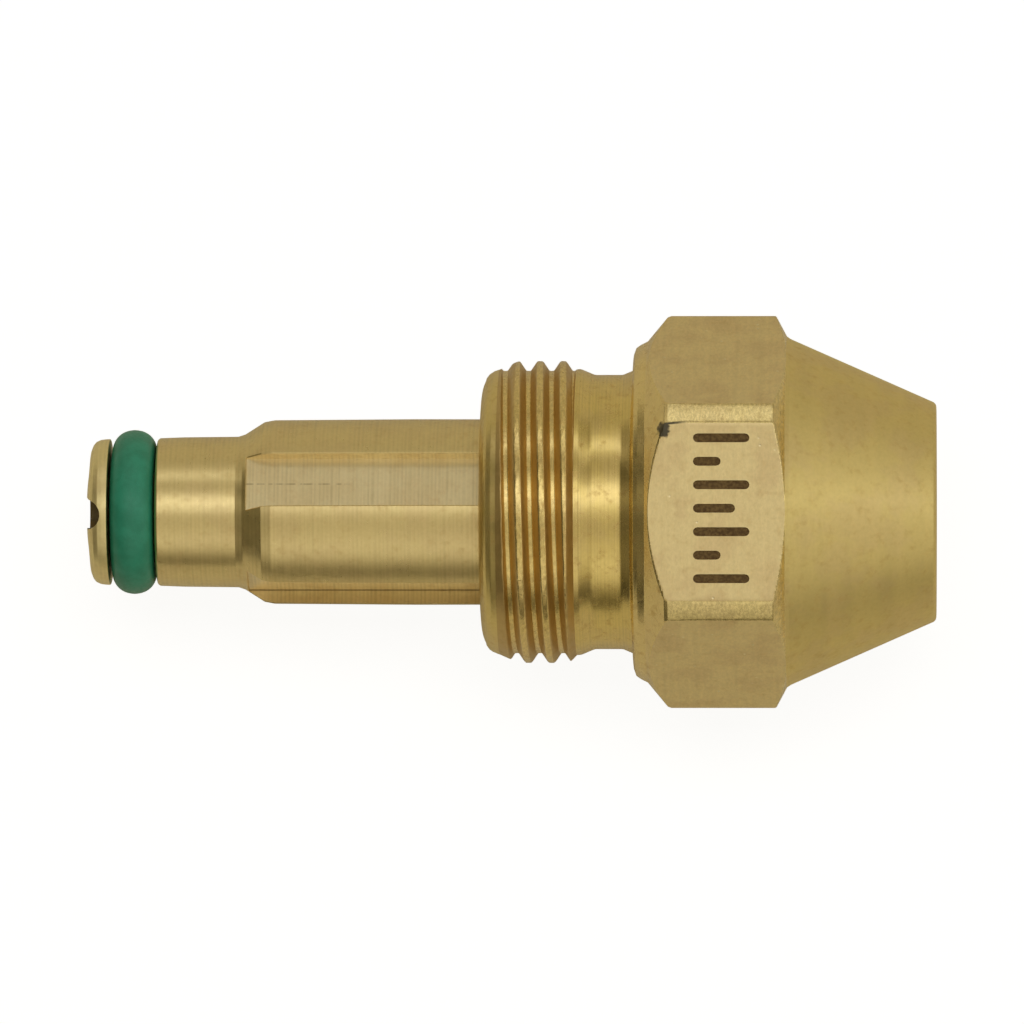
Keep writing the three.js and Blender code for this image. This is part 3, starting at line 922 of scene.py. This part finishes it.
co_s = []
for u, r, z, slotted in rows_s:
    half = min(SLOT_HALF, 0.62 * r)
    bore = z == "bore"
    for k, kind, q in col_kind:
        A0 = slot_angles[k]
        if kind == "floor":
            s = q * half
            rad = math.sqrt(r * r - s * s)
            if slotted and not bore:
                # the full radius includes the thread; the floor never does
                h = min(SLOT_FLOOR, rad)
            else:
                h = rad
            x, y = h, s
        elif kind in ("wall+", "wall-"):
            sgn = 1 if kind == "wall+" else -1
            s = sgn * half
            aa = A0 + math.degrees(math.asin(half / max(r, half + 1e-6))) * sgn
            rt = male_radius(u, r, aa) if not bore else r
            H = math.sqrt(max(rt * rt - s * s, 0))
            base = min(SLOT_FLOOR, math.sqrt(r * r - s * s)) if (slotted and not bore) else H
            top = H - min(0.05, 0.35 * max(H - base, 0.0))
            x, y = base + (top - base) * q, s
        else:
            a1 = math.degrees(math.asin(min(0.999, half / r)))
            edge_h = math.sqrt(max(r * r - half * half, 0)) - min(SLOT_FLOOR, math.sqrt(r * r - half * half))
            pad = min(0.8, 5.6 * edge_h) if slotted and not bore else 0.0
            lo_a, hi_a = a1 + pad, 90 - a1 - pad
            aa = A0 + lo_a + (hi_a - lo_a) * q
            rt = male_radius(u, r, aa) if not bore else r
            an = math.radians(aa - A0)
            x, y = rt * math.cos(an), rt * math.sin(an)
        c, sn = math.cos(math.radians(A0)), math.sin(math.radians(A0))
        co_s.append((u, x * c - y * sn, x * sn + y * c))
co_s = np.array(co_s)
# walls run floor -> top on the + side; the - side belongs to the next slot, so turn it round
fix = co_s.reshape(len(rows_s), ncol, 3).copy()
for k in range(4):
    base = k * (FL + WL + LD + WL)
    src = base + FL + WL + LD
    nxt = (k + 1) % 4
    for i, (u, r, z, slotted) in enumerate(rows_s):
        half = min(SLOT_HALF, 0.62 * r)
        A0 = slot_angles[nxt]
        bore = z == "bore"
        for q in range(WL):
            t = (WL - q) / WL
            aa = A0 - math.degrees(math.asin(half / max(r, half + 1e-6)))
            rt = male_radius(u, r, aa) if not bore else r
            H = math.sqrt(max(rt * rt - half * half, 0))
            b = min(SLOT_FLOOR, math.sqrt(r * r - half * half)) if (slotted and not bore) else H
            top = H - min(0.05, 0.35 * max(H - b, 0.0))
            x, y = b + (top - b) * t, -half
            c, sn = math.cos(math.radians(A0)), math.sin(math.radians(A0))
            fix[i, src + q] = (u, x * c - y * sn, x * sn + y * c)
co_s = fix.reshape(-1, 3)
faces_s = grid_faces(len(rows_s), ncol)
fm_s = []
for i, (u, r, z, slotted) in enumerate(rows_s):
    for j in range(ncol):
        kind = col_kind[j][1]
        nxt = col_kind[(j + 1) % ncol][1]
        if z == "bore":
            fm_s.append(2)
        elif z in ("rear", "disc"):
            fm_s.append(3)
        elif slotted and (kind in ("floor", "wall+") and nxt in ("floor", "wall+") or kind == "wall-") and u < -1.0:
            fm_s.append(1)
        else:
            fm_s.append(0)
faces_s = flip_if_inside_out(co_s, faces_s)
stem_obj = make_object("stem_skin", co_s, faces_s, [mat_stem.mat, mat_slot.mat, mat_bore_shade.mat, mat_disc.mat], fm_s)

# round-bottomed notch from the oil bore out through the rim of the rear disc
cut_bm = bmesh.new()
seg = 28
ring_a, ring_b = [], []
ca = math.radians(92.4)
along = Vector((0, math.cos(ca), math.sin(ca)))
side = Vector((0, -math.sin(ca), math.cos(ca)))
for k in range(seg):
    t = 2 * math.pi * (k + 0.5) / seg
    off = Vector((0.70 * math.cos(t), 0, 0)) + side * (0.70 * math.sin(t))
    ring_a.append(cut_bm.verts.new((Vector((-25.0, 0, 0)) + off + along * 4.5) * MM))
    ring_b.append(cut_bm.verts.new((Vector((-25.0, 0, 0)) + off) * MM))
for k in range(seg):
    cut_bm.faces.new((ring_a[k], ring_a[(k + 1) % seg], ring_b[(k + 1) % seg], ring_b[k]))
cut_bm.faces.new(ring_a)
cut_bm.faces.new(ring_b)
bmesh.ops.recalc_face_normals(cut_bm, faces=cut_bm.faces)
cut_me = bpy.data.meshes.new("channel_cutter")
cut_bm.to_mesh(cut_me)
cut_bm.free()
cut_me.materials.append(mat_bore_shade.mat)
cutter = bpy.data.objects.new("channel_cutter", cut_me)
scene.collection.objects.link(cutter)
mod = stem_obj.modifiers.new("channel", "BOOLEAN")
mod.operation = "DIFFERENCE"
mod.solver = "EXACT"
mod.object = cutter
bpy.context.view_layer.update()
dg = bpy.context.evaluated_depsgraph_get()
done_me = bpy.data.meshes.new_from_object(stem_obj.evaluated_get(dg))
stem_obj.modifiers.clear()
old = stem_obj.data
stem_obj.data = done_me
bpy.data.meshes.remove(old)
bpy.data.objects.remove(cutter)
stem_obj.data.polygons.foreach_set("use_smooth", np.ones(len(stem_obj.data.polygons), bool))
stem_obj.data.set_sharp_from_angle(angle=math.radians(30))

# ---------------------------------------------------------------------------------------------
# O-ring: a slightly squeezed round section with a faint moulding line
# ---------------------------------------------------------------------------------------------
sec, colsn = 56, 200
t = np.arange(sec) * 2 * np.pi / sec
cu = np.sign(np.cos(t)) * np.abs(np.cos(t)) ** 0.93 * 0.99
cr = np.sign(np.sin(t)) * np.abs(np.sin(t)) ** 0.96 * 0.925
flash = np.exp(-((np.cos(t) / 0.035) ** 2)) * 0.006
cr = cr + np.sign(np.sin(t)) * flash
Uo = (-22.875 + cu)[:, None]
Ro = (2.825 + cr)[:, None]
ang = (np.arange(colsn) * 360.0 / colsn)[None, :]
Ro = Ro + 0.006 * wobble(ang, 5, 11)
Uo = Uo + 0.010 * wobble(ang, 3, 12)
Po = np.stack(
    [Uo + 0 * ang + 0 * Ro, Ro * np.cos(np.radians(ang)), Ro * np.sin(np.radians(ang))], -1
).reshape(-1, 3)
ring_obj = make_object("o_ring_skin", Po, flip_if_inside_out(Po, grid_faces(sec, colsn)), [mat_ring.mat], merge=False)

# ---------------------------------------------------------------------------------------------
# Fuel jet and air swirler
# ---------------------------------------------------------------------------------------------
jet_obj = lathe_object(
    "fuel_jet_skin",
    [
        (7.15, 0.50, 0.0, "bore"),
        (7.15, 0.93, 0.03, "a"),
        (7.20, 0.97, 0.0, "a"),
        (10.2, 0.97, 0.10, "a"),
        (11.3, 0.52, 0.10, "a"),
        (13.02, 0.52, 0.04, "a"),
        (13.1, 0.44, 0.03, "a"),
        (13.1, 0.27, 0.02, "a"),
        (13.05, 0.25, 0.0, "bore"),
        (12.3, 0.25, 0.0, "bore"),
        (12.05, 0.36, 0.0, "bore"),
        (11.0, 0.36, 0.0, "bore"),
        (10.6, 0.50, 0.0, "bore"),
    ],
    64,
    [mat_insert.mat, mat_inside.mat],
    {"bore": 1},
    step=0.4,
)
shoulder = 9.3 + 3.8 - 3.45 - 0.17
front = shoulder + 3.45 - 1.95
swirl_obj = lathe_object(
    "air_swirler_skin",
    [
        (8.35, 1.65, 0.0, "a"),
        (8.35, 3.38, 0.03, "a"),
        (8.42, 3.45, 0.03, "a"),
        (shoulder, 3.45, 0.05, "a"),
        (front, 1.95, 0.04, "a"),
        (front, 1.72, 0.03, "a"),
        (front - 0.07, 1.65, 0.0, "bore"),
    ],
    96,
    [mat_insert.mat, mat_inside.mat],
    {"bore": 1},
    step=0.3,
)
cuts = []
for k in range(6):
    b = bmesh.new()
    bmesh.ops.create_cube(b, size=1.0)
    for v in b.verts:
        v.co = Vector((v.co.x * 6, v.co.y * 1.1 + 0.55, v.co.z * 0.7))
    bmesh.ops.bevel(b, geom=[e for e in b.edges if abs((e.verts[0].co - e.verts[1].co).x) > 3], offset=0.08, segments=3, affect="EDGES")
    c45, s45 = math.cos(math.radians(-45)), math.sin(math.radians(-45))
    kk = math.radians(15 + 60 * k)
    for v in b.verts:
        x, y, z = v.co
        x, y = x * c45 - y * s45, x * s45 + y * c45
        x, y, z = x + shoulder + 0.03, y + 3.45 - 0.67, z + 1.25
        v.co = Vector((x, y * math.cos(kk) - z * math.sin(kk), y * math.sin(kk) + z * math.cos(kk))) * MM
    me = bpy.data.meshes.new("swirl_cut")
    bmesh.ops.recalc_face_normals(b, faces=b.faces)
    b.to_mesh(me)
    b.free()
    me.materials.append(mat_insert.mat)
    ob = bpy.data.objects.new("swirl_cut_%d" % k, me)
    scene.collection.objects.link(ob)
    md = swirl_obj.modifiers.new("slot%d" % k, "BOOLEAN")
    md.operation, md.solver, md.object = "DIFFERENCE", "EXACT", ob
    cuts.append(ob)
bpy.context.view_layer.update()
dg = bpy.context.evaluated_depsgraph_get()
me = bpy.data.meshes.new_from_object(swirl_obj.evaluated_get(dg))
swirl_obj.modifiers.clear()
swirl_obj.data = me
for ob in cuts:
    bpy.data.objects.remove(ob)
for ob in (jet_obj, swirl_obj):
    ob.data.polygons.foreach_set("use_smooth", np.ones(len(ob.data.polygons), bool))
    ob.data.set_sharp_from_angle(angle=math.radians(30))

# ---------------------------------------------------------------------------------------------
# Each piece rides on its CAD body and stands for its CAD node
# ---------------------------------------------------------------------------------------------
for obj, body, node, slot in (
    (cap_obj, "cap", "nozzle_cap", "cap_brass"),
    (ring_obj, "seal", "o_ring", "green_rubber"),
    (stem_obj, "stem", "stem", "stem_brass"),
    (swirl_obj, "stem", "air_swirler", "insert_brass"),
    (jet_obj, "stem", "fuel_jet", "insert_brass"),
):
    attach(obj, body)
    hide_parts(node)

# ---------------------------------------------------------------------------------------------
# Stage: a pale floor, once for the camera and once for the bounce light, and a soft light dome
# ---------------------------------------------------------------------------------------------
FLOOR_Z = -0.00802


def floor(name, albedo, glow, size):
    me = bpy.data.meshes.new(name)
    me.from_pydata([(-size, -size, FLOOR_Z), (size, -size, FLOOR_Z), (size, size, FLOOR_Z), (-size, size, FLOOR_Z)], [], [(0, 1, 2, 3)])
    m = bpy.data.materials.new(name)
    m.use_nodes = True
    b = m.node_tree.nodes["Principled BSDF"]
    b.inputs["Base Color"].default_value = (*albedo, 1)
    b.inputs["Roughness"].default_value = 0.9
    b.inputs["Specular IOR Level"].default_value = 0.0
    b.inputs["Emission Color"].default_value = (1, 1, 1, 1)
    b.inputs["Emission Strength"].default_value = glow
    me.materials.append(m)
    o = bpy.data.objects.new(name, me)
    scene.collection.objects.link(o)
    return o


floor_seen = floor("floor_seen", (0.42, 0.43, 0.45), 0.885, 3.0)
floor_seen.visible_glossy = False
floor_seen.visible_diffuse = False
floor_seen.visible_transmission = False
floor_bounce = floor("floor_bounce", (0.90, 0.86, 0.74), 0.0, 3.0)
floor_bounce.visible_camera = False
floor_bounce.visible_shadow = False

world = bpy.data.worlds.new("soft_dome")
scene.world = world
world.use_nodes = True
wt = world.node_tree
wt.nodes.clear()
w_out = wt.nodes.new("ShaderNodeOutputWorld")
bg = wt.nodes.new("ShaderNodeBackground")
wt.links.new(bg.outputs[0], w_out.inputs["Surface"])
tc = wt.nodes.new("ShaderNodeTexCoord")
sp = wt.nodes.new("ShaderNodeSeparateXYZ")
wt.links.new(tc.outputs["Generated"], sp.inputs[0])


def wmath(op, a, b=None):
    n = wt.nodes.new("ShaderNodeMath")
    n.operation = op
    for sock, val in zip(n.inputs, (a, b)):
        if isinstance(val, bpy.types.NodeSocket):
            wt.links.new(val, sock)
        elif val is not None:
            sock.default_value = val
    return n.outputs[0]


def wramp(fac, stops, lo, hi):
    r = wt.nodes.new("ShaderNodeValToRGB")
    r.color_ramp.interpolation = "EASE"
    el = r.color_ramp.elements
    stops = sorted(stops)
    el[0].position = (stops[0][0] - lo) / (hi - lo)
    el[0].color = (stops[0][1],) * 3 + (1,)
    el[1].position = (stops[-1][0] - lo) / (hi - lo)
    el[1].color = (stops[-1][1],) * 3 + (1,)
    for x, v in stops[1:-1]:
        e = el.new((x - lo) / (hi - lo))
        e.color = (v, v, v, 1)
    f = wmath("DIVIDE", wmath("SUBTRACT", fac, lo), hi - lo)
    wt.links.new(f, r.inputs[0])
    return r.outputs[0]


rho = wmath("MULTIPLY", wmath("ARCTAN2", sp.outputs[1], sp.outputs[2]), 180 / math.pi)
# brightness of the dome by the angle from straight up, towards +Y
DOME = [
    (-180, 0.10),
    (-92, 0.12),
    (-84, 0.12),
    (-77, 0.14),
    (-71, 0.26),
    (-65, 0.44),
    (-57, 0.64),
    (-46, 0.72),
    (-36, 0.66),
    (-26, 0.58),
    (-17, 0.51),
    (-9, 0.47),
    (-4, 0.53),
    (0, 0.64),
    (5, 0.92),
    (10, 1.17),
    (16, 1.36),
    (21, 1.18),
    (26, 0.72),
    (31, 0.45),
    (38, 0.40),
    (47, 0.40),
    (51, 0.55),
    (54, 0.9),
    (58, 1.05),
    (62, 0.9),
    (66, 0.60),
    (70, 0.46),
    (80, 0.40),
    (92, 0.37),
    (180, 0.37),
]
# and by how far the direction leans along X: the rear end of the room is dark, except high on the +Y side
SIDE_LOW = [(-1.0, 0.20), (-0.7, 0.23), (-0.5, 0.36), (-0.38, 0.86), (-0.28, 0.98), (-0.1, 1.0), (0.25, 1.0), (0.42, 0.82), (0.6, 0.78), (0.72, 1.05), (0.85, 1.3), (0.95, 0.95), (1.0, 0.55)]
SIDE_HIGH = [(-1.0, 0.12), (-0.88, 0.16), (-0.72, 0.36), (-0.5, 0.85), (-0.3, 1.0), (0.3, 1.0), (0.55, 0.8), (0.75, 0.8), (0.93, 0.65), (1.0, 0.5)]
dome = wramp(rho, [(a, v / 2) for a, v in DOME], -180, 180)
side_mix = wt.nodes.new("ShaderNodeMapRange")
side_mix.interpolation_type = "SMOOTHSTEP"
side_mix.inputs["From Min"].default_value = 44.0
side_mix.inputs["From Max"].default_value = 60.0
wt.links.new(rho, side_mix.inputs["Value"])
side_lo = wramp(sp.outputs[0], [(a, v / 1.4) for a, v in SIDE_LOW], -1.0, 1.0)
side_hi = wramp(sp.outputs[0], [(a, v / 1.4) for a, v in SIDE_HIGH], -1.0, 1.0)
side_f = wmath("ADD", side_lo, wmath("MULTIPLY", side_mix.outputs["Result"], wmath("SUBTRACT", side_hi, side_lo)))
level = wmath("MULTIPLY", wmath("MULTIPLY", dome, side_f), 2.8)
lp = wt.nodes.new("ShaderNodeLightPath")
mixn = wt.nodes.new("ShaderNodeMix")
mixn.data_type = "FLOAT"
wt.links.new(lp.outputs["Is Camera Ray"], mixn.inputs["Factor"])
wt.links.new(level, mixn.inputs[2])
mixn.inputs[3].default_value = 0.97
wt.links.new(mixn.outputs[0], bg.inputs["Strength"])
# the dim parts of the room are warmer than the lamps
tintn = wt.nodes.new("ShaderNodeMix")
tintn.data_type = "RGBA"
amount = wt.nodes.new("ShaderNodeMapRange")
amount.inputs["From Min"].default_value = 0.10
amount.inputs["From Max"].default_value = 1.0
wt.links.new(level, amount.inputs["Value"])
wt.links.new(amount.outputs["Result"], tintn.inputs["Factor"])
tintn.inputs[6].default_value = (1.0, 0.87, 0.53, 1)
tintn.inputs[7].default_value = (1.0, 0.99, 0.97, 1)
plain = wt.nodes.new("ShaderNodeMix")
plain.data_type = "RGBA"
wt.links.new(lp.outputs["Is Camera Ray"], plain.inputs["Factor"])
wt.links.new(tintn.outputs[2], plain.inputs[6])
plain.inputs[7].default_value = (1, 1, 1, 1)
wt.links.new(plain.outputs[2], bg.inputs["Color"])

# one soft overhead card gives the contact shadow its direction
key = bpy.data.lights.new("soft_key", "AREA")
key.shape = "RECTANGLE"
key.size, key.size_y = 0.9, 0.5
key.energy = 2.0
key_o = bpy.data.objects.new("soft_key", key)
key_o.location = (0.05, 0.35, 1.1)
key_o.rotation_euler = (math.radians(-17), 0, 0)
key_o.visible_camera = False
key_o.visible_glossy = False
scene.collection.objects.link(key_o)
